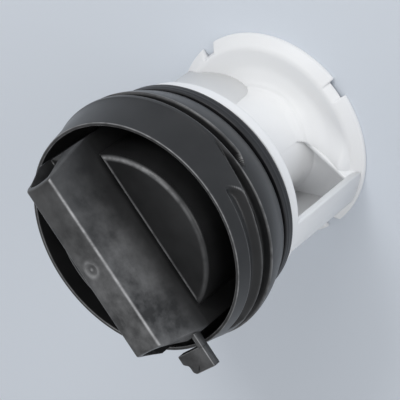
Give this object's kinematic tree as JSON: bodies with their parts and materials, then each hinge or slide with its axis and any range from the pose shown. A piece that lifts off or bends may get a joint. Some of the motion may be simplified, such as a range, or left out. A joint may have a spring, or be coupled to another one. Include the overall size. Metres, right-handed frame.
{
  "type": "washer pump filter",
  "caption": "Pump filter for a washing machine: black screw cap with a bar grip and lug, rubber seal, and a white open basket with scoops and a notched rear lip.",
  "frame": {"origin": "on the filter's axis, in the plane of the basket's rear lip", "axes": "+Z along the axis from the rear lip towards the grip, X along the grip bar with the lug at -X, Y across the grip"},
  "size_m": [0.0609, 0.0586, 0.0694],
  "materials": {
    "cap_plastic": "satin black moulded plastic",
    "seal_rubber": "matt black rubber",
    "basket_plastic": "milky white moulded plastic, satin"
  },
  "bodies": {
    "basket": {"filter_basket": "basket_plastic"},
    "cap": {"screw_cap": "cap_plastic", "seal_ring": "seal_rubber"}
  },
  "joints": [
    {"name": "cap_swivel", "type": "hinge", "parent": "basket", "child": "cap", "pos_m": [0, 0, 0.0295], "axis": [0, 0, 1], "continuous": true}
  ]
}
